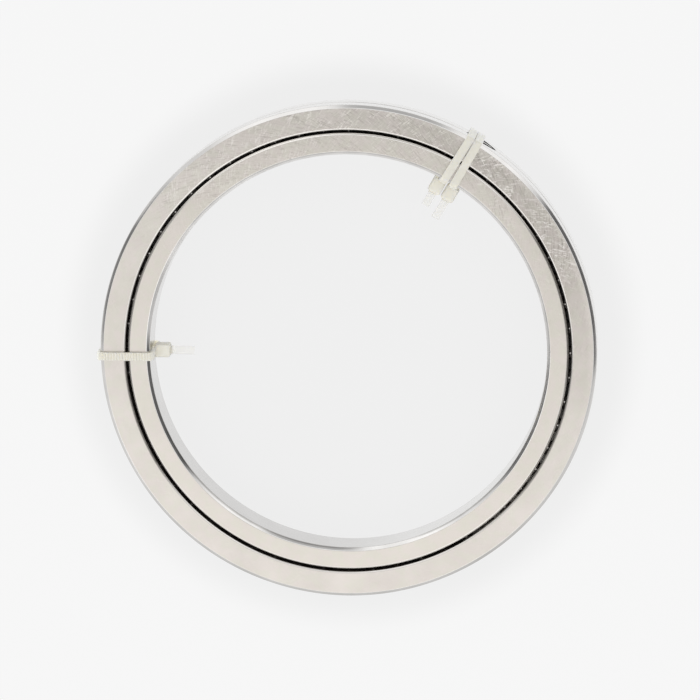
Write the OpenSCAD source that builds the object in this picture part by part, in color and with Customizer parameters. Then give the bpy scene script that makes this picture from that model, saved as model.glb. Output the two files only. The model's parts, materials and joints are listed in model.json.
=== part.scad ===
// Crossed roller bearing with a one-piece inner ring and a split outer ring.
// It lies on its back face at z = 0, with the turning axis along Z.

/* [Rings] */
// Bore diameter of the inner ring
bore_d = 120; // [105:0.5:180]
// Radial height of the section from the bore to the roller centres
inner_rise = 7; // [6:0.1:10]
// Radial height of the section from the roller centres to the outside diameter
outer_rise = 8; // [6.5:0.1:12]
// Width of both rings, from face to face
ring_w = 16; // [13:0.5:22]
// Open gap between the shoulders of the two rings
ring_gap = 0.8; // [0.6:0.1:2]
// Chamfer on both edges of the bore
bore_chamfer = 1; // [0.3:0.1:1.6]
// Chamfer on both edges of the outside diameter
outer_chamfer = 1; // [0.3:0.1:1.6]
// Chamfer where a face of the inner ring meets the gap
inner_gap_chamfer = 0.6; // [0.1:0.05:0.8]
// Chamfer where a face of the outer ring meets the gap
outer_gap_chamfer = 0.4; // [0.1:0.05:0.6]

/* [Raceways] */
// Clearance between a roller and the V-shaped raceways
running_clearance = 0.1; // [0.06:0.02:0.2]
// Width of the relief slot at the bottom of each V
relief_w = 1; // [0.6:0.1:1.6]
// Depth of the relief slot below the point of the V
relief_depth = 0.3; // [0.1:0.1:0.5]

/* [Rollers] */
// Number of rollers, always even, because neighbours lean opposite ways
roller_count = 56; // [40:2:58]
// Diameter of a roller
roller_d = 6; // [5:0.1:6.4]
// How much shorter a roller is than its diameter, so that its ends run free
roller_end_float = 0.2; // [0.1:0.1:1]
// Chamfer on the ends of a roller
roller_chamfer = 0.3; // [0.1:0.05:0.5]

/* [Spacers] */
// Clearance between a spacer and the V-shaped raceways
spacer_clearance = 0.2; // [0.1:0.05:0.5]
// Clearance between a spacer's hollow seat and its roller
seat_clearance = 0.1; // [0.06:0.02:0.2]
// How far the horns of a spacer reach along its rollers, past its thinnest part
spacer_horn_l = 1.35; // [0.6:0.05:2]
// Diameter of the grease hole through the middle of a spacer
spacer_hole_d = 1.8; // [1:0.1:2.4]

/* [Seam] */
// Chamfer on the seam edge of each half, two of which make the groove round the rim
seam_chamfer = 0.8; // [0.3:0.05:1.2]
// Number of notches across the seam
notch_count = 3; // [1:1:6]
// Angle of the first notch from the X axis
notch_angle = 58; // [0:1:119]
// Length of a notch, measured straight across the rim
notch_l = 11; // [9:0.5:16]
// Width of a notch at the outside diameter
notch_w = 8; // [4:0.5:9]
// Wall left between the bottom of a notch and the raceway's relief slot
notch_floor = 0.9; // [0.4:0.1:1.2]
// Width of the flat at the bottom of a notch
notch_flat_w = 0.6; // [0.3:0.1:1.4]
// Diameter of the grease hole from each notch to the raceway
grease_hole_d = 1.6; // [1:0.1:2.4]

/* [Hidden] */
// Lean of a roller's axis from the turning axis
lean_angle = 45;
// Overlap that carries a cut cleanly through a surface
cut_through = 1;
// Smoothness of the rings, and of rollers, spacers and holes
ring_fn = 180;
small_fn = 48;

mid_z = ring_w / 2;
bore_r = bore_d / 2;
pitch_r = bore_r + inner_rise;
outer_r = pitch_r + outer_rise;
pitch_angle = 360 / roller_count;
roller_spacing = 2 * pitch_r * sin(pitch_angle / 2);

// The two V-shaped raceways enclose a square track that stands on its corner
track_r = roller_d / 2 + running_clearance;
track_half = track_r * sqrt(2);
inner_shoulder_r = pitch_r - ring_gap / 2;
outer_shoulder_r = pitch_r + ring_gap / 2;
groove_half_w = track_half - ring_gap / 2;
inner_point_r = pitch_r - track_half;
outer_point_r = pitch_r + track_half;
relief_half_w = relief_w / 2;

roller_l = roller_d - roller_end_float;
seat_r = roller_d / 2 + seat_clearance;
spacer_d = 2 * (track_r - spacer_clearance);
spacer_l = roller_spacing - 2 * seat_r + 2 * spacer_horn_l;

// A notch is cut by a disc with a bevelled rim whose circle crosses the outside diameter notch_l apart
notch_half_l = notch_l / 2;
notch_depth = outer_rise - track_half - relief_depth - notch_floor;
notch_drop = outer_r - sqrt(outer_r * outer_r - notch_half_l * notch_half_l);
notch_rise = notch_depth - notch_drop;
notch_disc_r = (notch_half_l * notch_half_l + notch_rise * notch_rise) / (2 * notch_rise);
notch_disc_x = outer_r - notch_depth + notch_disc_r;
notch_flare = (notch_w - notch_flat_w) / 2 / notch_depth;

function lean(i) = i % 2 == 0 ? lean_angle : -lean_angle;
function roller_name(i) = str("roller_", i < 9 ? "0" : "", i + 1);

ring_names = ["inner_ring", "outer_ring_upper", "outer_ring_lower", "spacers"];

// Inner ring, turned in one piece with the V groove and its relief slot
module inner_ring() {
    color([0.80, 0.78, 0.75])
    rotate_extrude($fn = ring_fn)
    polygon([
        [bore_r + bore_chamfer, 0],
        [inner_shoulder_r - inner_gap_chamfer, 0],
        [inner_shoulder_r, inner_gap_chamfer],
        [inner_shoulder_r, mid_z - groove_half_w],
        [inner_point_r + relief_half_w, mid_z - relief_half_w],
        [inner_point_r - relief_depth, mid_z - relief_half_w],
        [inner_point_r - relief_depth, mid_z + relief_half_w],
        [inner_point_r + relief_half_w, mid_z + relief_half_w],
        [inner_shoulder_r, mid_z + groove_half_w],
        [inner_shoulder_r, ring_w - inner_gap_chamfer],
        [inner_shoulder_r - inner_gap_chamfer, ring_w],
        [bore_r + bore_chamfer, ring_w],
        [bore_r, ring_w - bore_chamfer],
        [bore_r, bore_chamfer]
    ]);
}

// Disc with a bevel on both sides of its rim, which cuts one notch across the seam
module notch_disc() {
    translate([notch_disc_x, 0, mid_z])
    rotate_extrude($fn = small_fn)
    polygon([
        [0, -notch_flat_w / 2 - notch_flare * notch_disc_r],
        [notch_disc_r, -notch_flat_w / 2],
        [notch_disc_r, notch_flat_w / 2],
        [0, notch_flat_w / 2 + notch_flare * notch_disc_r]
    ]);
}

// Grease hole from the bottom of a notch into the raceway
module grease_hole() {
    translate([outer_point_r - cut_through, 0, mid_z])
    rotate([0, 90, 0])
    cylinder(d = grease_hole_d, h = outer_r - outer_point_r + cut_through, $fn = small_fn);
}

// Upper half of the outer ring: one side of the V groove, half the seam groove and half of each notch
module outer_half() {
    difference() {
        rotate_extrude($fn = ring_fn)
        polygon([
            [outer_shoulder_r, mid_z + groove_half_w],
            [outer_point_r - relief_half_w, mid_z + relief_half_w],
            [outer_point_r + relief_depth, mid_z + relief_half_w],
            [outer_point_r + relief_depth, mid_z],
            [outer_r - seam_chamfer, mid_z],
            [outer_r, mid_z + seam_chamfer],
            [outer_r, ring_w - outer_chamfer],
            [outer_r - outer_chamfer, ring_w],
            [outer_shoulder_r + outer_gap_chamfer, ring_w],
            [outer_shoulder_r, ring_w - outer_gap_chamfer]
        ]);
        for (k = [0 : notch_count - 1])
            rotate([0, 0, notch_angle + k * 360 / notch_count]) {
                notch_disc();
                grease_hole();
            }
    }
}

module outer_ring_upper() {
    color([0.82, 0.80, 0.77])
    outer_half();
}

module outer_ring_lower() {
    color([0.78, 0.76, 0.74])
    translate([0, 0, ring_w])
    mirror([0, 0, 1])
    outer_half();
}

// One roller about its own axis, with chamfered ends
module roller_shape() {
    rotate_extrude($fn = small_fn)
    polygon([
        [0, -roller_l / 2],
        [roller_d / 2 - roller_chamfer, -roller_l / 2],
        [roller_d / 2, -roller_l / 2 + roller_chamfer],
        [roller_d / 2, roller_l / 2 - roller_chamfer],
        [roller_d / 2 - roller_chamfer, roller_l / 2],
        [0, roller_l / 2]
    ]);
}

// Roller i in its place on the track, leaning outwards or inwards in turn
module roller(i) {
    color([0.72, 0.72, 0.73])
    rotate([0, 0, i * pitch_angle])
    translate([pitch_r, 0, mid_z])
    rotate([0, lean(i), 0])
    roller_shape();
}

// Spacer between roller i and the next, hollowed on each side by the roller that it faces
module spacer(i) {
    rotate([0, 0, (i + 0.5) * pitch_angle])
    translate([0, 0, mid_z])
    difference() {
        translate([pitch_r, 0, 0])
        rotate([90, 0, 0])
        difference() {
            cylinder(d = spacer_d, h = spacer_l, center = true, $fn = small_fn);
            cylinder(d = spacer_hole_d, h = spacer_l + cut_through, center = true, $fn = small_fn);
        }
        for (side = [0, 1])
            rotate([0, 0, (side - 0.5) * pitch_angle])
            translate([pitch_r, 0, 0])
            rotate([0, lean(i + side), 0])
            cylinder(r = seat_r, h = 2 * roller_d, center = true, $fn = small_fn);
    }
}

// All the spacers, each a separate piece
module spacers() {
    color([0.16, 0.15, 0.14])
    for (i = [0 : roller_count - 1])
        spacer(i);
}

inner_ring();
outer_ring_upper();
outer_ring_lower();
spacers();
for (i = [0 : roller_count - 1])
    roller(i);
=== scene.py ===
import json
import math

import bpy
from mathutils import Matrix, Vector


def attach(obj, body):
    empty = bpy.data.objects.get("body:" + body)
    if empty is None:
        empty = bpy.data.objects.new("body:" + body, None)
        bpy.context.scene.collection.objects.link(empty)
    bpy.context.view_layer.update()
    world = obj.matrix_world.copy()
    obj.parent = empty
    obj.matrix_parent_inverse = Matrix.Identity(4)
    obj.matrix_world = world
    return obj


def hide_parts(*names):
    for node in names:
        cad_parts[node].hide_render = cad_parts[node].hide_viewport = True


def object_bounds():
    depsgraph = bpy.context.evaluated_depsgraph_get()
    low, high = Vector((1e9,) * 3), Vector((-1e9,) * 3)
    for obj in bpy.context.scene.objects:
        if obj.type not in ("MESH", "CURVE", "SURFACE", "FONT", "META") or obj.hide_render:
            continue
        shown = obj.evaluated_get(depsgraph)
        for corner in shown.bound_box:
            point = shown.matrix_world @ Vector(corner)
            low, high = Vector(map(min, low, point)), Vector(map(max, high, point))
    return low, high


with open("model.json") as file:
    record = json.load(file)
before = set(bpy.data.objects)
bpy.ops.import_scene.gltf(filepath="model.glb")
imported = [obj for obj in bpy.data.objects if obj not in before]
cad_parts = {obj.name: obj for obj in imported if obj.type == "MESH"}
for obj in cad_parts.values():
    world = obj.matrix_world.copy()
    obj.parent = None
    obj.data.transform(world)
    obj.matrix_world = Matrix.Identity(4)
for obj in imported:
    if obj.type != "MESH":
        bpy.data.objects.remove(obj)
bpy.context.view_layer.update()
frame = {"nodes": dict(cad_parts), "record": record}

# Sizes of the bearing in metres, on the part's own frame: back face at z = 0, turning axis along Z
MM = 0.001
mounts = {mount["name"]: mount for mount in frame["record"]["mounts"]}
BORE_R = mounts["bore"]["dims"]["r_mm"] * MM
RIM_R = mounts["outside_diameter"]["dims"]["r_mm"] * MM
WIDTH = mounts["inner_front_face"]["pos_m"][2]
MID_Z = WIDTH / 2
INNER_RISE = 7 * MM
PITCH_R = BORE_R + INNER_RISE
GAP = 0.8 * MM
BORE_CHAMFER = 1 * MM
RIM_CHAMFER = 1 * MM
INNER_GAP_CHAMFER = 0.6 * MM
OUTER_GAP_CHAMFER = 0.4 * MM
SEAM_CHAMFER = 0.8 * MM
EDGE_ROUND = 0.18 * MM
GAP_EDGE_ZONE = 1.6 * MM
RING_STEPS = 360

# A leaning roller, and the height of its highest edge over its middle
ROLLER_R = 3 * MM
ROLLER_HALF_L = 2.9 * MM
ROLLER_CHAMFER = 0.3 * MM
ROLLER_TOP = (ROLLER_R + ROLLER_HALF_L - ROLLER_CHAMFER) / math.sqrt(2)

# The square track of the rollers, standing on its corner, and the relief slot in each V
RUNNING_CLEARANCE = 0.1 * MM
TRACK_HALF = (ROLLER_R + RUNNING_CLEARANCE) * math.sqrt(2)
RELIEF_HALF_W = 0.5 * MM
RELIEF_DEPTH = 0.3 * MM
INNER_SHOULDER_R = PITCH_R - GAP / 2
OUTER_SHOULDER_R = PITCH_R + GAP / 2
GROOVE_HALF_W = TRACK_HALF - GAP / 2
INNER_POINT_R = PITCH_R - TRACK_HALF
OUTER_POINT_R = PITCH_R + TRACK_HALF

# Notches across the seam, with a grease hole in each
NOTCH_ANGLE = math.radians(58)
NOTCH_COUNT = 3
NOTCH_HALF_L = 5.5 * MM
NOTCH_HALF_W = 4 * MM
NOTCH_FLAT_HALF_W = 0.3 * MM
NOTCH_WALL = 0.9 * MM
NOTCH_DEPTH = RIM_R - OUTER_POINT_R - RELIEF_DEPTH - NOTCH_WALL
NOTCH_RISE = NOTCH_DEPTH - RIM_R + math.sqrt(RIM_R**2 - NOTCH_HALF_L**2)
NOTCH_DISC_R = (NOTCH_HALF_L**2 + NOTCH_RISE**2) / (2 * NOTCH_RISE)
NOTCH_DISC_X = RIM_R - NOTCH_DEPTH + NOTCH_DISC_R
NOTCH_FLARE = (NOTCH_HALF_W - NOTCH_FLAT_HALF_W) / NOTCH_DEPTH
NOTCH_STEPS = 96
GREASE_HOLE_R = 0.8 * MM
GREASE_HOLE_STEPS = 32
DRILL_REACH = 0.5 * MM

# Cable ties: strap section, teeth, the strap's way round the section, and the head block in the bore
STRAP_W = 2.5 * MM
STRAP_T = 0.8 * MM
TOOTH_PITCH = 0.85 * MM
TOOTH_RISE = 0.22 * MM
TOOTH_INSET = 0.18 * MM
STRAP_LIFT = 0.62 * MM
RIM_LIFT = 0.55 * MM
STRAP_BEND_R = 1.6 * MM
STRAP_ROOT = 1.2 * MM
ENTRY_SLANT = 0.4 * MM
TAIL_RISE = 0.4 * MM
HEAD_L = 4.8 * MM
HEAD_W = 4.1 * MM
HEAD_H = 5 * MM
HEAD_ROUND = 0.7 * MM
HEAD_R = 56.7 * MM
HEAD_Z = 9 * MM
MOUTH_RIM = 0.25 * MM
MOUTH_SLOPE = 0.12 * MM
MOUTH_DEPTH = 0.7 * MM

# Level of the white that the camera sees behind the bearing
BACKGROUND = 0.933

# Camera of the photo: tilt and its direction, distance, picture width, scale, and shift of the aim
CAMERA_TILT = math.radians(10.1)
TILT_WAY = (0.3987, 0.9171)
CAMERA_DISTANCE = 1.4
PICTURE_PX = 700
PX_PER_MM = 3.3195
AIM_RIGHT = 0.71 * MM
AIM_UP = 0.82 * MM
SENSOR_MM = 36

# Tint of the greenish spots on the ground faces, the greasy dark that also paints the reflection on the gap
# edges, and the colour of the pale greasy film in the gap
GREEN_TINT = (0.98, 1.005, 0.975)
GREASE_AND_PAINTED_DARK = (0.08, 0.068, 0.053, 1)
PALE = (0.62, 0.59, 0.54, 1)

# Stretches of the ring, each a direction, half width and soft edge in degrees, and a strength:
# where a greasy film and a painted dark reflection cover each gap edge, and where the greasy film in the
# gap is pale
INNER_GREASE_AND_PAINTED_DARK = [(13, 16, 9, 0.85), (79, 12, 12, 0.12), (160, 15, 14, 0.6)]
OUTER_GREASE_AND_PAINTED_DARK = [(198, 11, 10, 0.8), (341, 12, 12, 0.55), (330, 10, 14, 0.2)]
PALE_GREASE = [(324, 14, 10, 0.8)]

# Radii on each gap edge where that greasy film and painted dark start, and where they are thickest
INNER_CLEAR_R = INNER_SHOULDER_R - 0.8 * MM
INNER_THICK_R = INNER_SHOULDER_R - 0.4 * MM
OUTER_CLEAR_R = OUTER_SHOULDER_R + 0.75 * MM
OUTER_THICK_R = OUTER_SHOULDER_R + 0.2 * MM


# Modelling steps

def pick(piece):
    """Leaves only this piece selected and active."""
    bpy.ops.object.select_all(action="DESELECT")
    piece.select_set(True)
    bpy.context.view_layer.objects.active = piece


def named(name):
    """The primitive that was just added, under its own name."""
    piece = bpy.context.object
    piece.name = name
    piece.data.name = name
    return piece


def select_faces(piece, choose):
    """In edit mode, selects the faces for which choose(centre, normal) holds."""
    bpy.ops.mesh.select_mode(type="FACE")
    bpy.ops.mesh.select_all(action="DESELECT")
    bpy.ops.object.mode_set(mode="OBJECT")
    for face in piece.data.polygons:
        face.select = bool(choose(face.center, face.normal))
    bpy.ops.object.mode_set(mode="EDIT")


def apply_modifier(piece, kind, **settings):
    """Adds a modifier to the piece and applies it."""
    pick(piece)
    bpy.ops.object.modifier_add(type=kind)
    modifier = piece.modifiers[-1]
    for name, value in settings.items():
        setattr(modifier, name, value)
    bpy.ops.object.modifier_apply(modifier=modifier.name)


def close_up(piece):
    """Merges doubles and turns the faces outwards."""
    pick(piece)
    bpy.ops.object.mode_set(mode="EDIT")
    bpy.ops.mesh.select_all(action="SELECT")
    bpy.ops.mesh.remove_doubles(threshold=0.002 * MM)
    bpy.ops.mesh.normals_make_consistent(inside=False)
    bpy.ops.object.mode_set(mode="OBJECT")


def smooth(piece, angle=30):
    """Smooth shading that keeps flat faces flat beside their rounded edges."""
    pick(piece)
    bpy.ops.object.shade_smooth_by_angle(angle=math.radians(angle))
    apply_modifier(piece, "WEIGHTED_NORMAL", weight=100, keep_sharp=True)


def place(piece, turn):
    """Turns the piece about the X, Y and Z axes and leaves its place in its mesh."""
    pick(piece)
    piece.rotation_euler = turn
    bpy.ops.object.transform_apply(location=True, rotation=True, scale=True)


def turned(name, outline, steps, axis_x=0.0, corner=0.0):
    """A closed outline of (radius, height) points, its corners broken, spun about a line along Z."""
    first = outline[0]
    bpy.ops.object.select_all(action="DESELECT")
    bpy.ops.mesh.primitive_plane_add(size=MM, location=(0, 0, 0))
    piece = named(name)
    bpy.ops.object.mode_set(mode="EDIT")
    bpy.ops.mesh.select_mode(type="VERT")
    bpy.ops.mesh.merge(type="CENTER")
    bpy.ops.transform.translate(value=(axis_x + first[0], 0, first[1]))
    for here, there in zip(outline, outline[1:] + outline[:1]):
        step = (there[0] - here[0], 0, there[1] - here[1])
        bpy.ops.mesh.extrude_region_move(TRANSFORM_OT_translate={"value": step})
    bpy.ops.mesh.select_all(action="SELECT")
    bpy.ops.mesh.remove_doubles(threshold=0.002 * MM)
    if corner:
        bpy.ops.mesh.bevel(offset=corner, segments=3, affect="VERTICES", clamp_overlap=True)
    bpy.ops.mesh.select_all(action="SELECT")
    bpy.ops.mesh.spin(steps=steps, angle=math.tau, center=(axis_x, 0, 0), axis=(0, 0, 1))
    bpy.ops.object.mode_set(mode="OBJECT")
    close_up(piece)
    return piece


def ring_of_copies(piece, count, first_angle):
    """Repeats the piece round the turning axis, starting at first_angle."""
    pick(piece)
    bpy.ops.object.mode_set(mode="EDIT")
    bpy.ops.mesh.select_all(action="SELECT")
    sweep = math.tau * (count - 1) / count
    bpy.ops.mesh.spin(steps=count - 1, angle=sweep, dupli=True, center=(0, 0, 0), axis=(0, 0, 1))
    bpy.ops.object.mode_set(mode="OBJECT")
    close_up(piece)
    place(piece, (0, 0, first_angle))


# Rings

def inner_ring():
    """The inner ring, in one piece with its V groove and the relief slot."""
    piece = turned("inner_ring_ground", [
        (BORE_R + BORE_CHAMFER, 0),
        (INNER_SHOULDER_R - INNER_GAP_CHAMFER, 0),
        (INNER_SHOULDER_R, INNER_GAP_CHAMFER),
        (INNER_SHOULDER_R, MID_Z - GROOVE_HALF_W),
        (INNER_POINT_R + RELIEF_HALF_W, MID_Z - RELIEF_HALF_W),
        (INNER_POINT_R - RELIEF_DEPTH, MID_Z - RELIEF_HALF_W),
        (INNER_POINT_R - RELIEF_DEPTH, MID_Z + RELIEF_HALF_W),
        (INNER_POINT_R + RELIEF_HALF_W, MID_Z + RELIEF_HALF_W),
        (INNER_SHOULDER_R, MID_Z + GROOVE_HALF_W),
        (INNER_SHOULDER_R, WIDTH - INNER_GAP_CHAMFER),
        (INNER_SHOULDER_R - INNER_GAP_CHAMFER, WIDTH),
        (BORE_R + BORE_CHAMFER, WIDTH),
        (BORE_R, WIDTH - BORE_CHAMFER),
        (BORE_R, BORE_CHAMFER),
    ], RING_STEPS, corner=EDGE_ROUND)
    smooth(piece)
    return piece


def outer_half(name, up):
    """One half of the outer ring: up is 1 for the front half and -1 for the back half."""
    face_z = MID_Z + up * MID_Z
    piece = turned(name, [
        (OUTER_SHOULDER_R, MID_Z + up * GROOVE_HALF_W),
        (OUTER_POINT_R - RELIEF_HALF_W, MID_Z + up * RELIEF_HALF_W),
        (OUTER_POINT_R + RELIEF_DEPTH, MID_Z + up * RELIEF_HALF_W),
        (OUTER_POINT_R + RELIEF_DEPTH, MID_Z),
        (RIM_R - SEAM_CHAMFER, MID_Z),
        (RIM_R, MID_Z + up * SEAM_CHAMFER),
        (RIM_R, face_z - up * RIM_CHAMFER),
        (RIM_R - RIM_CHAMFER, face_z),
        (OUTER_SHOULDER_R + OUTER_GAP_CHAMFER, face_z),
        (OUTER_SHOULDER_R, face_z - up * OUTER_GAP_CHAMFER),
    ], RING_STEPS, corner=EDGE_ROUND)
    for cutter in (notch_discs(), grease_holes()):
        apply_modifier(piece, "BOOLEAN", operation="DIFFERENCE", solver="EXACT", object=cutter)
        bpy.data.objects.remove(cutter)
    close_up(piece)
    smooth(piece)
    return piece


def notch_discs():
    """The bevelled discs that cut the notches."""
    disc = turned("notch_discs", [
        (0, MID_Z - NOTCH_FLAT_HALF_W - NOTCH_FLARE * NOTCH_DISC_R),
        (NOTCH_DISC_R, MID_Z - NOTCH_FLAT_HALF_W),
        (NOTCH_DISC_R, MID_Z + NOTCH_FLAT_HALF_W),
        (0, MID_Z + NOTCH_FLAT_HALF_W + NOTCH_FLARE * NOTCH_DISC_R),
    ], NOTCH_STEPS, axis_x=NOTCH_DISC_X)
    ring_of_copies(disc, NOTCH_COUNT, NOTCH_ANGLE)
    return disc


def grease_holes():
    """The drills that open each notch and reach a little way into the raceway."""
    length = RIM_R - OUTER_POINT_R
    bpy.ops.object.select_all(action="DESELECT")
    bpy.ops.mesh.primitive_cylinder_add(
        vertices=GREASE_HOLE_STEPS,
        radius=GREASE_HOLE_R,
        depth=length,
        location=(OUTER_POINT_R + length / 2 - DRILL_REACH, 0, MID_Z),
        rotation=(0, math.pi / 2, 0),
    )
    drill = named("grease_drills")
    bpy.ops.object.transform_apply(location=True, rotation=True, scale=True)
    ring_of_copies(drill, NOTCH_COUNT, NOTCH_ANGLE)
    return drill


# Cable ties

def rounded(corners, radius):
    """Points along a chain of (x, y, side) corners, each but the first and last rounded in X and Y."""
    points = [Vector(corners[0])]
    for before, here, after in zip(corners, corners[1:], corners[2:]):
        corner = Vector(here[:2])
        into = (corner - Vector(before[:2])).normalized()
        out = (Vector(after[:2]) - corner).normalized()
        turn = -into.angle_signed(out)
        left = Vector((-into.y, into.x)) * math.copysign(radius, turn)
        start = corner - into * radius * math.tan(abs(turn) / 2)
        steps = max(2, round(abs(turn) / math.radians(9)))
        for k in range(steps + 1):
            spot = start + left - Matrix.Rotation(turn * k / steps, 2) @ left
            points.append(Vector((*spot, here[2])))
    points.append(Vector(corners[-1]))
    return points


def strap_path(front_side, rim_side, head_side, tail_r):
    """Curve that a strap follows, drawn flat: X is the radius, Y the height, Z the way along the rim."""
    low, high = -STRAP_LIFT, WIDTH + STRAP_LIFT
    outside = RIM_R + RIM_LIFT
    entry = BORE_R - STRAP_LIFT
    line = rounded([
        (HEAD_R + STRAP_ROOT, HEAD_Z - STRAP_ROOT, head_side),
        (entry, low, head_side),
        (outside, low, rim_side),
        (outside, high, rim_side),
        (entry, high, front_side),
        (entry - ENTRY_SLANT, HEAD_Z, head_side),
        (HEAD_R, HEAD_Z, head_side),
        (tail_r, HEAD_Z + TAIL_RISE, head_side),
    ], STRAP_BEND_R)
    bpy.ops.object.select_all(action="DESELECT")
    bpy.ops.curve.primitive_nurbs_path_add()
    path = bpy.context.object
    path.data.splines.clear()
    path.data.twist_mode = "Z_UP"
    path.data.use_deform_bounds = False
    spline = path.data.splines.new("POLY")
    spline.points.add(len(line) - 1)
    for point, (x, y, side) in zip(spline.points, line):
        point.co = (x, y, -side, 1)
    length = sum((after - before).length for before, after in zip(line, line[1:]))
    return path, length


def toothed_strap(name, count, tooth_side):
    """A straight strap of count teeth along X, with its teeth on the +Y or -Y side."""
    bpy.ops.object.select_all(action="DESELECT")
    bpy.ops.mesh.primitive_cube_add(
        size=1,
        location=(TOOTH_PITCH / 2, 0, 0),
        scale=(TOOTH_PITCH, STRAP_T, STRAP_W),
    )
    piece = named(name)
    bpy.ops.object.transform_apply(location=True, rotation=True, scale=True)
    bpy.ops.object.mode_set(mode="EDIT")
    bpy.ops.mesh.select_all(action="SELECT")
    bpy.ops.mesh.bisect(plane_co=(TOOTH_PITCH / 2, 0, 0), plane_no=(1, 0, 0))
    select_faces(piece, lambda centre, normal: abs(normal.x) > 0.9)
    bpy.ops.mesh.delete(type="FACE")
    select_faces(piece, lambda centre, normal: normal.y * tooth_side > 0.9)
    bpy.ops.mesh.inset(thickness=TOOTH_INSET, depth=TOOTH_RISE)
    bpy.ops.object.mode_set(mode="OBJECT")
    apply_modifier(
        piece,
        "ARRAY",
        count=count,
        relative_offset_displace=(1, 0, 0),
        use_merge_vertices=True,
        merge_threshold=0.01 * MM,
    )
    bpy.ops.object.mode_set(mode="EDIT")
    bpy.ops.mesh.select_all(action="SELECT")
    bpy.ops.mesh.fill_holes(sides=0)
    bpy.ops.object.mode_set(mode="OBJECT")
    return piece


def tie_head(name, side):
    """The ratchet block of a tie, with a mouth where the strap goes in and one where it comes out."""
    bpy.ops.object.select_all(action="DESELECT")
    bpy.ops.mesh.primitive_cube_add(
        size=1,
        location=(HEAD_R, side, HEAD_Z),
        scale=(HEAD_L, HEAD_W, HEAD_H),
    )
    piece = named(name)
    bpy.ops.object.transform_apply(location=True, rotation=True, scale=True)
    bpy.ops.object.mode_set(mode="EDIT")
    bpy.ops.mesh.select_all(action="SELECT")
    bpy.ops.mesh.bevel(offset=HEAD_ROUND, segments=3, affect="EDGES")
    select_faces(piece, lambda centre, normal: abs(normal.x) > 0.99)
    bpy.ops.mesh.inset(thickness=MOUTH_RIM)
    bpy.ops.mesh.inset(thickness=MOUTH_SLOPE, depth=-MOUTH_DEPTH)
    bpy.ops.object.mode_set(mode="OBJECT")
    return piece


def cable_tie(name, angle, front_side, rim_side, head_side, tail_r, tooth_side):
    """One tie round the section of both rings, at an angle on the rim, with its head in the bore."""
    path, length = strap_path(front_side, rim_side, head_side, tail_r)
    strap = toothed_strap(name + "_strap", int(length / TOOTH_PITCH), tooth_side)
    apply_modifier(strap, "CURVE", object=path, deform_axis="POS_X")
    bpy.data.objects.remove(path)
    place(strap, (math.pi / 2, 0, 0))
    piece = tie_head(name, head_side)
    apply_modifier(piece, "BOOLEAN", operation="UNION", solver="EXACT", object=strap)
    bpy.data.objects.remove(strap)
    place(piece, (0, 0, angle))
    close_up(piece)
    smooth(piece, angle=40)
    return piece


# Finishes

class Signal:
    """A value in a node tree. Arithmetic on it adds Math nodes."""

    def __init__(self, nodes, socket):
        self.nodes = nodes
        self.socket = socket

    def other(self, output):
        """Another output of the same node."""
        return Signal(self.nodes, self.socket.node.outputs[output])

    def math(self, operation, *values, clamp=False):
        return self.nodes.math(operation, self, *values, clamp=clamp)

    def __add__(self, value):
        return self.math("ADD", value)

    def __radd__(self, value):
        return self.nodes.math("ADD", value, self)

    def __sub__(self, value):
        return self.math("SUBTRACT", value)

    def __rsub__(self, value):
        return self.nodes.math("SUBTRACT", value, self)

    def __mul__(self, value):
        return self.math("MULTIPLY", value)

    def __rmul__(self, value):
        return self.nodes.math("MULTIPLY", value, self)

    def __truediv__(self, value):
        return self.math("DIVIDE", value)

    def __pow__(self, value):
        return self.math("POWER", value)


class Nodes:
    """The node tree of a material or of the world."""

    def __init__(self, tree):
        self.tree = tree

    def node(self, kind, settings=None, inputs=None, output=0):
        """Adds a node, sets it up, fills or links its sockets, and gives one of its outputs."""
        made = self.tree.nodes.new(kind)
        for name, value in (settings or {}).items():
            setattr(made, name, value)
        for name, value in (inputs or {}).items():
            self.feed(made.inputs[name], value)
        return Signal(self, made.outputs[output]) if made.outputs else made

    def feed(self, socket, value):
        if isinstance(value, Signal):
            self.tree.links.new(value.socket, socket)
        else:
            socket.default_value = value

    def math(self, operation, *values, clamp=False):
        settings = {"operation": operation, "use_clamp": clamp}
        return self.node("ShaderNodeMath", settings, dict(enumerate(values)))

    def step(self, value, low, high):
        """0 below low, 1 above high, and smooth between them."""
        inputs = {"Value": value, "From Min": low, "From Max": high}
        return self.node("ShaderNodeMapRange", {"interpolation_type": "SMOOTHSTEP"}, inputs)

    def mix(self, share, first, second):
        """A colour between the first and the second."""
        inputs = {0: share, 6: first, 7: second}
        return self.node("ShaderNodeMix", {"data_type": "RGBA"}, inputs, 2)

    def vector(self, x, y, z):
        return self.node("ShaderNodeCombineXYZ", None, {0: x, 1: y, 2: z})

    def noise(self, spot, scale, detail=2.0, roughness=0.5, swirl=0.0):
        inputs = {"Vector": spot, "Scale": scale, "Detail": detail}
        inputs.update({"Roughness": roughness, "Distortion": swirl})
        return self.node("ShaderNodeTexNoise", None, inputs)

    def bump(self, height, strength, distance):
        inputs = {"Height": height, "Strength": strength, "Distance": distance}
        return self.node("ShaderNodeBump", None, inputs)

    def stretch(self, angle, centre, half, soft):
        """1 within half a width of a direction, in degrees, fading to 0 over a soft edge."""
        near = (angle - math.radians(centre)).math("COSINE")
        return self.step(near, math.cos(math.radians(half + soft)), math.cos(math.radians(half)))

    def stretches(self, angle, spots):
        """The sum of several stretches, each with a strength of its own."""
        total = 0.0
        for centre, half, soft, strength in spots:
            total = total + strength * self.stretch(angle, centre, half, soft)
        return total

    def round_spot(self):
        """Object coordinates: the spot, its radius, its angle and its height on the turning axis."""
        spot = self.node("ShaderNodeTexCoord", None, None, "Object")
        x = self.node("ShaderNodeSeparateXYZ", None, {0: spot})
        y = x.other(1)
        radius = (x * x + y * y) ** 0.5
        angle = y.math("ARCTAN2", x)
        return spot, radius, angle, x.other(2)


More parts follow.
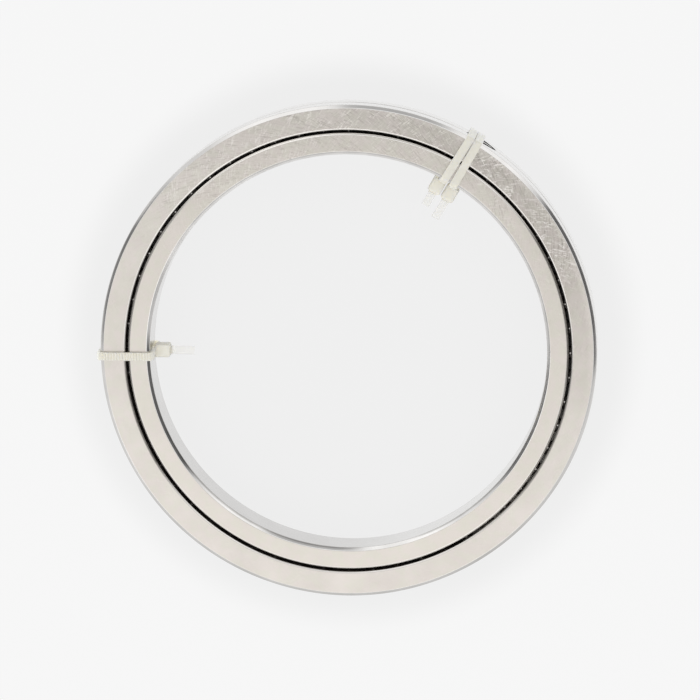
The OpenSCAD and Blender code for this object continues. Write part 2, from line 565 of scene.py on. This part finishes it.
class Finish(Nodes):
    """A material whose Principled shader takes its values by socket name."""

    def __init__(self, name):
        self.material = bpy.data.materials.new(name)
        self.material.use_nodes = True
        super().__init__(self.material.node_tree)
        self.shader = self.tree.nodes["Principled BSDF"]

    def set(self, **sockets):
        for name, value in sockets.items():
            self.feed(self.shader.inputs[name.replace("_", " ")], value)


def grinding_marks(finish, radius, angle, slant, fineness, reach):
    """Fine scratches that cross the radius at a slant, as a cup wheel leaves them on a turning ring."""
    phase = angle + slant * (radius / PITCH_R)
    spot = finish.vector(
        phase.math("COSINE") * fineness,
        phase.math("SINE") * fineness,
        radius * (1 / reach),
    )
    return finish.noise(spot, 1, 2, 0.6, 1.0)


def ground_face_finish(name, dark, light, turn, painted_shading, scored, grease_and_painted_shade, clear_r, thick_r):
    """Flat ground face of a ring: crossed scratches, bold where scored, a painted shade on one side, and a
    greasy film by the gap that is also painted dark for the reflection there.
    """
    finish = Finish(name)
    spot, radius, angle, _ = finish.round_spot()
    ahead = grinding_marks(finish, radius, angle + turn, 1.3, 230, 1.9 * MM)
    back = grinding_marks(finish, radius, angle - turn, -1.1, 200, 1.7 * MM)
    broad = grinding_marks(finish, radius, angle + 2 * turn, 0.8, 120, 1.8 * MM)
    cross = grinding_marks(finish, radius, angle - 2 * turn, -1.7, 105, 1.6 * MM)
    # the scratches show strongest towards 70° and fade round the ring
    toward_70deg = (angle - math.radians(70)).math("COSINE") * 0.5 + 0.5
    clusters = finish.step(finish.noise(spot, 210, 2, 0.5), 0.38, 0.62)
    depth = (0.12 + 0.80 * toward_70deg ** 4) * (0.35 + 0.65 * clusters)
    fine = finish.step(ahead, 0.45, 0.72) + finish.step(back, 0.47, 0.72)
    bold = finish.step(broad, 0.54, 0.66) - finish.step(cross, 0.54, 0.66)
    lines = (fine - 0.5) * 0.45 + bold * 0.55
    smears = finish.noise(spot, 95, 3, 0.55)
    by_rim = finish.step(radius, RIM_R - 3.2 * MM, RIM_R - 1.2 * MM)
    # painted shade: the face darker towards 38°, less so by the rim
    painted_shade_patch = (angle - math.radians(38)).math("COSINE").math("MAXIMUM", 0) ** 3 * (1 - 0.75 * by_rim)
    tone = 0.5 + (smears - 0.5) * 0.6 + lines * depth - painted_shading * painted_shade_patch
    tone = tone.math("ADD", 0, clamp=True)
    warm = finish.mix(tone, (*dark, 1), (*light, 1))
    green = finish.mix(tone, tinted(dark, GREEN_TINT), tinted(light, GREEN_TINT))
    mottle = finish.step(finish.noise(spot, 330, 2, 0.5), 0.42, 0.58)
    score = finish.stretches(angle, scored) * (0.45 + 0.55 * clusters)
    dark_scratch = finish.step(cross, 0.51, 0.62) + 0.5 * finish.step(ahead, 0.54, 0.70)
    light_scratch = finish.step(broad, 0.52, 0.63) + 0.5 * finish.step(back, 0.54, 0.70)
    ground = finish.mix(mottle, warm, green)
    ground = finish.mix(0.48 * score * dark_scratch, ground, (0.30, 0.275, 0.252, 1))
    ground = finish.mix(0.36 * score * light_scratch, ground, (0.93, 0.90, 0.865, 1))
    # greasy film over the gap edge, which is also a painted dark reflection
    film = grease_and_painted_dark_film(finish, spot, radius, angle, grease_and_painted_shade, clear_r, thick_r)
    finish.set(
        Base_Color=finish.mix(film, ground, GREASE_AND_PAINTED_DARK),
        Metallic=1.0,
        Roughness=0.29 + 0.10 * smears + 0.05 * fine * depth,
        Normal=finish.bump(lines * depth, 0.35, 0.015 * MM),
    )
    return finish.material


def grease_and_painted_dark_film(finish, spot, radius, angle, grease_and_painted_shade, clear_r, thick_r):
    """Share of the greasy film on a gap edge, which also paints the dark reflection there: stretches of the
    ring, thickening from clear_r to thick_r.
    """
    speckle = 0.7 + 0.6 * finish.noise(spot, 900, 3, 0.6)
    film = finish.stretches(angle, grease_and_painted_shade) * finish.step(radius, clear_r, thick_r) * speckle
    return film.math("ADD", 0, clamp=True)


def gap_edge_finish(name, painted_highlight, grease_and_painted_shade, clear_r, thick_r):
    """Chamfer beside the gap: turned steel, with painted highlights in places, and in others a greasy film
    that also paints the dark reflection there.
    """
    finish = Finish(name)
    spot, radius, angle, _ = finish.round_spot()
    film = grease_and_painted_dark_film(finish, spot, radius, angle, grease_and_painted_shade, clear_r, thick_r)
    # painted highlight: the chamfer lighter in stretches of the ring
    painted_shine = finish.stretches(angle, painted_highlight)
    steel = finish.mix(painted_shine, (0.765, 0.742, 0.715, 1), (0.93, 0.905, 0.865, 1))
    finish.set(
        # greasy film over the edge, which is also a painted dark reflection
        Base_Color=finish.mix(film, steel, GREASE_AND_PAINTED_DARK),
        Metallic=1 - 0.6 * film,
        Roughness=0.16 + 0.2 * film,
    )
    return finish.material


def tinted(colour, tint):
    return (*(share * part for share, part in zip(colour, tint)), 1)


def turned_wall_finish(name, dark, light, roughness, painted_shading=(), matt=(), painted_crest_shading=(), painted_foot_shading=()):
    """Bore, rim and chamfers: fine lines and long stains, stretches of matt roughness, and stretches of
    painted shade and light, along the whole wall, by the faces and by the bore.
    """
    finish = Finish(name)
    _, radius, angle, height = finish.round_spot()
    across = height + radius
    lines = finish.noise(
        finish.vector(angle.math("COSINE") * 2, angle.math("SINE") * 2, across * 9000),
        1, 2, 0.6,
    )
    stains = finish.noise(
        finish.vector(angle.math("COSINE") * 9, angle.math("SINE") * 9, across * 120),
        1, 3, 0.5,
    )
    by_face = finish.step((height - MID_Z).math("ABSOLUTE"), MID_Z - 0.5 * MM, MID_Z - 0.2 * MM)
    by_bore = 1 - finish.step(radius, BORE_R + 0.25 * MM, BORE_R + 0.6 * MM)
    # painted shade in stretches of the ring, and painted light where a strength is negative
    shade = finish.stretches(angle, painted_shading) + finish.stretches(angle, painted_crest_shading) * by_face
    shade = shade + finish.stretches(angle, painted_foot_shading) * by_bore
    tone = 0.5 + (lines - 0.5) * 0.6 + (stains - 0.5) * 0.7 - shade
    finish.set(
        Base_Color=finish.mix(tone.math("ADD", 0, clamp=True), (*dark, 1), (*light, 1)),
        Metallic=1.0,
        Roughness=roughness + 0.10 * (stains - 0.5) + 0.05 * (lines - 0.5) + finish.stretches(angle, matt),
        Normal=finish.bump(lines, 0.12, 0.006 * MM),
    )
    return finish.material


def raceway_finish():
    """Raceways and shoulders inside the gap, hardened and greased, painted near black for the shade deep in
    the gap, pale in one stretch.
    """
    finish = Finish("greased_raceway_painted_shade")
    spot, _, angle, _ = finish.round_spot()
    grease_and_painted_shade = finish.noise(spot, 420, 3, 0.6)
    film = finish.step(grease_and_painted_shade, 0.38, 0.66)
    pale = finish.stretches(angle, PALE_GREASE)
    # near black: greased steel, also painted shade of the deep gap
    wet_and_painted_shade = finish.mix(film, (0.17, 0.155, 0.14, 1), (0.045, 0.035, 0.025, 1))
    finish.set(
        Base_Color=finish.mix(pale, wet_and_painted_shade, PALE),
        Metallic=(0.9 - 0.7 * film) * (1 - pale),
        Roughness=0.22 + 0.2 * grease_and_painted_shade,
        Normal=finish.bump(grease_and_painted_shade, 0.2, 0.03 * MM),
    )
    return finish.material


def notch_finish():
    """Walls of the notches: steel under oil, painted darker for the shade in the notch, with two painted
    dark strokes of shade under the lower edge and a painted highlight band between them.
    """
    finish = Finish("greased_notch_painted_shade_and_highlight")
    spot, radius, angle, height = finish.round_spot()
    turn = ((angle - NOTCH_ANGLE) * NOTCH_COUNT).math("COSINE").math("ARCCOSINE") / NOTCH_COUNT
    along = turn * (RIM_R / NOTCH_HALF_L)
    half_w = NOTCH_FLAT_HALF_W + NOTCH_FLARE * NOTCH_DEPTH * (1 - along * along)
    below = (RIM_R - radius) / half_w
    # painted highlight: a light band across the lower wall
    painted_highlight_band = finish.step(below, 0.07, 0.08) * (1 - finish.step(below, 0.12, 0.13))
    painted_highlight_band = painted_highlight_band * finish.step(half_w, 1.9 * MM, 2.6 * MM)
    lower = 1 - finish.step(height, MID_Z - 0.4 * MM, MID_Z)
    # painted shade: two dark strokes under the lower edge, parted by the light band
    painted_shade_stroke = lower * (1 - finish.step(below, 0.22, 0.32)) * (1 - painted_highlight_band)
    film = finish.noise(spot, 420, 3, 0.5)
    # steel under oil, painted darker for the shade in the notch
    oily_and_shaded = finish.mix(film, (0.21, 0.20, 0.187, 1), (0.40, 0.39, 0.375, 1))
    with_painted_highlight = finish.mix(lower * painted_highlight_band, oily_and_shaded, (0.80, 0.79, 0.77, 1))
    finish.set(
        Base_Color=finish.mix(painted_shade_stroke, with_painted_highlight, (0.012, 0.010, 0.008, 1)),
        Metallic=1 - painted_shade_stroke,
        Roughness=0.3 + 0.2 * painted_shade_stroke,
        Specular_IOR_Level=0.15,
    )
    return finish.material


def roller_finish():
    """Rollers: bearing steel, greased and painted near black for the shade deep in the gap, with a painted
    highlight where an end's edge stands highest.
    """
    finish = Finish("greased_roller_painted_shade_and_highlight")
    spot, _, _, height = finish.round_spot()
    grease_and_painted_shade = finish.noise(spot, 520, 3, 0.5)
    rise = (height - MID_Z).math("ABSOLUTE")
    # painted highlight: a thin light band on the highest edge of each end
    with_painted_highlight = finish.step(rise, ROLLER_TOP - 0.015 * MM, ROLLER_TOP - 0.003 * MM)
    # near black: greased steel, also painted shade of the deep gap
    film = finish.mix(grease_and_painted_shade, (0.020, 0.016, 0.012, 1), (0.055, 0.047, 0.038, 1))
    finish.set(
        Base_Color=finish.mix(with_painted_highlight, film, (0.46, 0.44, 0.42, 1)),
        Metallic=0.4 + 0.6 * with_painted_highlight,
        Roughness=0.16 + 0.2 * grease_and_painted_shade,
        Normal=finish.bump(grease_and_painted_shade, 0.1, 0.02 * MM),
    )
    return finish.material


def spacer_finish():
    """Spacers: moulded dark nylon painted near black for the shade deep in the gap, slightly mottled, with
    a pale greasy film in one stretch.
    """
    finish = Finish("spacer_nylon_painted_shade")
    spot, _, angle, _ = finish.round_spot()
    grain = finish.noise(spot, 1500, 3, 0.6)
    pale = finish.stretches(angle, PALE_GREASE)
    # near black: dark nylon, also painted shade of the deep gap
    nylon = finish.mix(grain, (0.010, 0.009, 0.008, 1), (0.030, 0.027, 0.023, 1))
    finish.set(
        Base_Color=finish.mix(pale, nylon, PALE),
        Roughness=0.38 + 0.2 * grain,
        Normal=finish.bump(grain, 0.2, 0.02 * MM),
    )
    return finish.material


def tie_finish():
    """Cable ties: cloudy ivory nylon, with painted light at the rim and on the head, a painted glow in the
    shaded corner by the bore, see-through in the cut tail.
    """
    finish = Finish("natural_tie_nylon")
    spot, radius, _, height = finish.round_spot()
    cloud = finish.noise(spot, 260, 3, 0.5)
    grain = finish.noise(spot, 2600, 2, 0.5)
    ivory = finish.mix(cloud, (0.83, 0.805, 0.695, 1), (0.885, 0.85, 0.775, 1))
    # painted light: paler and glowing where the strap runs round the rim
    painted_light_at_rim = finish.step(radius, RIM_R + 0.1 * MM, RIM_R + 0.6 * MM)
    # painted light: the head paler
    block = 1 - finish.step(radius, BORE_R - 1 * MM, BORE_R - 0.2 * MM)
    # painted glow in the shaded corner between the head and the bore wall
    corner = finish.step(radius, BORE_R - 1.1 * MM, BORE_R - 0.7 * MM)
    corner = corner * (1 - finish.step(radius, BORE_R + 0.4 * MM, BORE_R + 1.4 * MM))
    corner = corner * (1 - finish.step(height, HEAD_Z + 1.5 * MM, HEAD_Z + 4.5 * MM))
    head_end = HEAD_R - HEAD_L / 2
    finish.set(
        Base_Color=finish.mix(0.75 * painted_light_at_rim + 0.2 * block, ivory, (0.955, 0.96, 0.915, 1)),
        Emission_Color=finish.mix(corner + 0.25 * painted_light_at_rim, (0, 0, 0, 1), (0.27, 0.26, 0.215, 1)),
        Emission_Strength=1.0,
        Roughness=0.36 + 0.14 * grain,
        Normal=finish.bump(grain, 0.12, 0.02 * MM),
        Alpha=0.15 + 0.75 * finish.step(radius, head_end - 0.9 * MM, head_end + 0.3 * MM),
        Subsurface_Weight=0.5,
        Subsurface_Radius=(1.0, 0.95, 0.8),
        Subsurface_Scale=1.5 * MM,
    )
    return finish.material


def coat(piece, whole, regions=()):
    """Gives a piece its finish, and other finishes to the faces that each region chooses."""
    piece.data.materials.clear()
    piece.data.materials.append(whole)
    for material, choose in regions:
        piece.data.materials.append(material)
        number = len(piece.data.materials) - 1
        for face in piece.data.polygons:
            if choose(face.center, face.normal):
                face.material_index = number


def on_face(centre, normal):
    """Front and back faces."""
    return abs(normal.z) > 0.97 and abs(abs(centre.z - MID_Z) - MID_Z) < 0.1 * MM


def on_chamfer(centre, normal):
    """Whatever slopes."""
    return 0.35 < abs(normal.z) < 0.95


def at_gap_edge(centre, normal):
    """Chamfers on both sides of the gap."""
    radius = math.hypot(centre.x, centre.y)
    return on_chamfer(centre, normal) and abs(radius - PITCH_R) < GAP_EDGE_ZONE


def in_notch(centre, normal):
    """Walls and bottom of a notch: below the rim, within its length and away from the seam faces."""
    radius = math.hypot(centre.x, centre.y)
    share = math.tau / NOTCH_COUNT
    beside = abs((math.atan2(centre.y, centre.x) - NOTCH_ANGLE + share / 2) % share - share / 2)
    below_rim = OUTER_POINT_R + RELIEF_DEPTH + 0.1 * MM < radius < RIM_R - 0.01 * MM
    by_seam = abs(centre.z - MID_Z) < NOTCH_HALF_W
    in_length = beside < 0.93 * NOTCH_HALF_L / RIM_R
    bottom = abs(normal.z) <= 0.35 and radius < RIM_R - 1 * MM
    return below_rim and by_seam and in_length and (on_chamfer(centre, normal) or bottom)


def in_gap(centre, normal):
    """Shoulders, raceways and relief slots."""
    radius = math.hypot(centre.x, centre.y)
    in_track = INNER_POINT_R - MM < radius < OUTER_POINT_R + RELIEF_DEPTH + 0.1 * MM
    below_edge = abs(centre.z - MID_Z) < MID_Z - INNER_GAP_CHAMFER - EDGE_ROUND
    return in_track and below_edge


# Staging

def camera_at_photo():
    """The photo's view: from a little above the one o'clock side, square to the picture's upright."""
    lean = math.sin(CAMERA_TILT)
    away = Vector((lean * TILT_WAY[0], lean * TILT_WAY[1], math.cos(CAMERA_TILT)))
    right = Vector((0, 1, 0)).cross(away).normalized()
    up = away.cross(right)
    data = bpy.data.cameras.new("photo_camera")
    data.sensor_width = SENSOR_MM
    data.lens = PX_PER_MM / MM * SENSOR_MM * CAMERA_DISTANCE / PICTURE_PX
    camera = bpy.data.objects.new("photo_camera", data)
    bpy.context.scene.collection.objects.link(camera)
    turn = Matrix((right, up, away)).transposed().to_4x4()
    aim = Vector((0, 0, WIDTH)) + right * AIM_RIGHT + up * AIM_UP
    spot = aim + away * CAMERA_DISTANCE
    camera.matrix_world = Matrix.Translation(spot) @ turn
    bpy.context.scene.camera = camera


def studio_world():
    """White surroundings, dimmer overhead, with dark places near the horizon that the chamfers mirror."""
    world = bpy.data.worlds.new("studio")
    bpy.context.scene.world = world
    world.use_nodes = True
    nodes = Nodes(world.node_tree)
    nodes.tree.nodes.clear()
    way = nodes.node("ShaderNodeTexCoord", None, None, "Generated")
    x = nodes.node("ShaderNodeSeparateXYZ", None, {0: way})
    y = x.other(1)
    height = x.other(2)
    around = y.math("ARCTAN2", x)
    dim = nodes.stretches(around, [
        (11, 18, 9, 0.85),
        (-22, 8, 8, 0.28),
        (81, 9, 11, 0.56),
        (170, 12, 15, 0.8),
    ])
    grey = nodes.stretches(around, [(0, 32, 15, 0.3), (165, 28, 15, 0.3)])
    low = 1 - nodes.step(height, 0.2, 0.45)
    middle = 1 - nodes.step(height, 0.55, 0.9)
    sky = 1.08 - 0.45 * nodes.step(height, 0.72, 0.97)
    level = sky * (1 - dim * low) * (1 - grey * middle)
    camera = nodes.node("ShaderNodeLightPath", None, None, "Is Camera Ray")
    shown = level + (BACKGROUND - level) * camera
    back = nodes.node("ShaderNodeBackground", None, {"Color": (1, 1, 1, 1), "Strength": shown})
    nodes.node("ShaderNodeOutputWorld", None, {"Surface": back})


def floor_finish():
    """Pale paper: it takes the object's shadow, and shows its own soft white besides, with painted shade
    round and inside the ring for the camera, and painted light beside the ring and a painted dark far
    stretch where metal mirrors it.
    """
    material = bpy.data.materials.new("pale_paper")
    material.use_nodes = True
    nodes = Nodes(material.node_tree)
    nodes.tree.nodes.clear()
    _, radius, angle, _ = nodes.round_spot()
    camera = nodes.node("ShaderNodeLightPath", None, None, "Is Camera Ray")
    mirrored = camera.other("Is Glossy Ray").math("MAXIMUM", camera.other("Is Transmission Ray"))
    # painted light where metal mirrors the floor beside the ring
    painted_light_beside_ring = nodes.step(radius, BORE_R - 14 * MM, BORE_R - 8 * MM)
    painted_light_beside_ring = painted_light_beside_ring * (1 - nodes.step(radius, RIM_R + 10 * MM, RIM_R + 30 * MM))
    past_painted_shade = nodes.step(radius, RIM_R + 4 * MM, RIM_R + 17 * MM)
    # painted dark far stretch, only where metal mirrors the floor
    painted_dark_far_end = nodes.stretch(angle, 171, 10, 8) * nodes.step(radius, RIM_R + 85 * MM, RIM_R + 185 * MM)
    # painted shade round and inside the ring, as the camera views the floor
    camera_level_with_painted_shade = 0.932 + 0.068 * past_painted_shade
    reflected = (0.82 + 0.20 * painted_light_beside_ring) * (1 - 0.8 * painted_dark_far_end)
    strength = BACKGROUND * (reflected + (camera_level_with_painted_shade - reflected) * camera)
    paper = nodes.node("ShaderNodeBsdfDiffuse", None, {"Color": (0.86, 0.86, 0.86, 1)})
    glow = nodes.node("ShaderNodeEmission", None, {"Color": (1, 1, 1, 1), "Strength": strength})
    share = (0.92 * camera).math("MAXIMUM", 0.95 * mirrored)
    surface = nodes.node("ShaderNodeMixShader", None, {0: share, 1: paper, 2: glow})
    nodes.node("ShaderNodeOutputMaterial", None, {"Surface": surface})
    return material


def pale_floor():
    """A wide sheet just under the lowest piece, staged apart from the bearing."""
    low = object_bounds()[0].z
    bpy.ops.object.select_all(action="DESELECT")
    bpy.ops.mesh.primitive_plane_add(size=12, location=(0, 0, low - 0.05 * MM))
    floor = named("paper_floor")
    floor.data.materials.append(floor_finish())


def soft_box(name, spot, turn, size, power):
    """A soft lamp that hangs level over the bearing, turned about Z."""
    data = bpy.data.lights.new(name, "AREA")
    data.shape = "RECTANGLE"
    data.size, data.size_y = size
    data.energy = power
    lamp = bpy.data.objects.new(name, data)
    bpy.context.scene.collection.objects.link(lamp)
    lamp.location = spot
    lamp.rotation_euler = (0, 0, math.radians(turn))


# The bearing

inner_face = ground_face_finish(
    "inner_ground_face",
    dark=(0.565, 0.522, 0.482),
    light=(0.72, 0.675, 0.63),
    turn=0.4,
    painted_shading=0.0,
    scored=[(88, 42, 8, 0.52)],
    grease_and_painted_shade=INNER_GREASE_AND_PAINTED_DARK,
    clear_r=INNER_CLEAR_R,
    thick_r=INNER_THICK_R,
)
outer_face = ground_face_finish(
    "outer_ground_face",
    dark=(0.515, 0.476, 0.442),
    light=(0.755, 0.708, 0.667),
    turn=0.7,
    # strength of the painted shade on this face
    painted_shading=0.5,
    scored=[(40, 16, 10, 0.7), (81, 55, 10, 0.72)],
    grease_and_painted_shade=OUTER_GREASE_AND_PAINTED_DARK,
    clear_r=OUTER_CLEAR_R,
    thick_r=OUTER_THICK_R,
)
inner_edge = gap_edge_finish(
    "inner_gap_edge",
    painted_highlight=[(106, 38, 10, 1.0), (320, 24, 12, 0.2)],
    grease_and_painted_shade=INNER_GREASE_AND_PAINTED_DARK,
    clear_r=INNER_CLEAR_R,
    thick_r=INNER_THICK_R,
)
outer_edge = gap_edge_finish(
    "outer_gap_edge",
    painted_highlight=[],
    grease_and_painted_shade=OUTER_GREASE_AND_PAINTED_DARK,
    clear_r=OUTER_CLEAR_R,
    thick_r=OUTER_THICK_R,
)
bore_wall = turned_wall_finish(
    "turned_steel_bore",
    dark=(0.55, 0.54, 0.53),
    light=(0.75, 0.745, 0.735),
    roughness=0.22,
    # painted shade round 230° and painted light round 305°
    painted_shading=[(230, 25, 25, 0.17), (305, 12, 20, -0.32)],
)
rim_wall = turned_wall_finish(
    "turned_steel_rim",
    dark=(0.73, 0.725, 0.715),
    light=(0.90, 0.895, 0.885),
    roughness=0.22,
)
bore_chamfer = turned_wall_finish(
    "turned_bore_chamfer",
    dark=(0.45, 0.44, 0.425),
    light=(0.95, 0.935, 0.92),
    roughness=0.13,
    # painted light and shade in stretches, also by the faces and by the bore
    painted_shading=[(70, 95, 20, -0.25), (195, 20, 10, -0.35), (250, 22, 14, -0.25), (325, 30, 15, -0.4)],
    matt=[(78, 72, 14, 0.22)],
    painted_crest_shading=[(68, 70, 14, 0.5)],
    painted_foot_shading=[(237, 31, 8, 0.6), (320, 26, 8, 0.6)],
)
rim_chamfer = turned_wall_finish(
    "turned_rim_chamfer",
    dark=(0.58, 0.568, 0.55),
    light=(0.90, 0.885, 0.87),
    roughness=0.13,
    # painted light round the top, painted shade round 280°
    painted_shading=[(90, 110, 20, -0.25), (280, 45, 15, 0.2)],
)
raceway = raceway_finish()
notch_walls = notch_finish()

ring = inner_ring()
coat(ring, bore_wall, [
    (bore_chamfer, on_chamfer),
    (inner_edge, at_gap_edge),
    (inner_face, on_face),
    (raceway, in_gap),
])
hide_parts("inner_ring")
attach(ring, "inner_ring")

for node, up in (("outer_ring_upper", 1), ("outer_ring_lower", -1)):
    half = outer_half(node + "_ground", up)
    coat(half, rim_wall, [
        (rim_chamfer, on_chamfer),
        (outer_edge, at_gap_edge),
        (outer_face, on_face),
        (raceway, in_gap),
        (notch_walls, in_notch),
    ])
    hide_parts(node)
    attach(half, "outer_ring")

roller_steel = roller_finish()
for name, node in frame["nodes"].items():
    if name.startswith("roller_"):
        coat(node, roller_steel)
coat(frame["nodes"]["spacers"], spacer_finish())

tie_nylon = tie_finish()
for name, angle, front_side, rim_side, head_side, tail_r, tooth_side in (
    ("tie_pair_first", 59.1, 2.2, 1.95, 3.05, 49.4, 1),
    ("tie_pair_second", 59.1, -1.0, -0.7, -1.5, 47.3, 1),
    ("tie_single", 180, 1.85, 1.85, 0.83, 46.6, -1),
):
    sides = (front_side * MM, rim_side * MM, head_side * MM)
    tie = cable_tie(name, math.radians(angle), *sides, tail_r * MM, tooth_side)
    coat(tie, tie_nylon)
    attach(tie, "outer_ring")

pale_floor()
studio_world()
soft_box(
    "overhead_box",
    spot=(-0.069, -0.323, 0.62),
    turn=78,
    size=(0.6, 0.9),
    power=1.05,
)
camera_at_photo()
bpy.context.scene.view_settings.view_transform = "Standard"
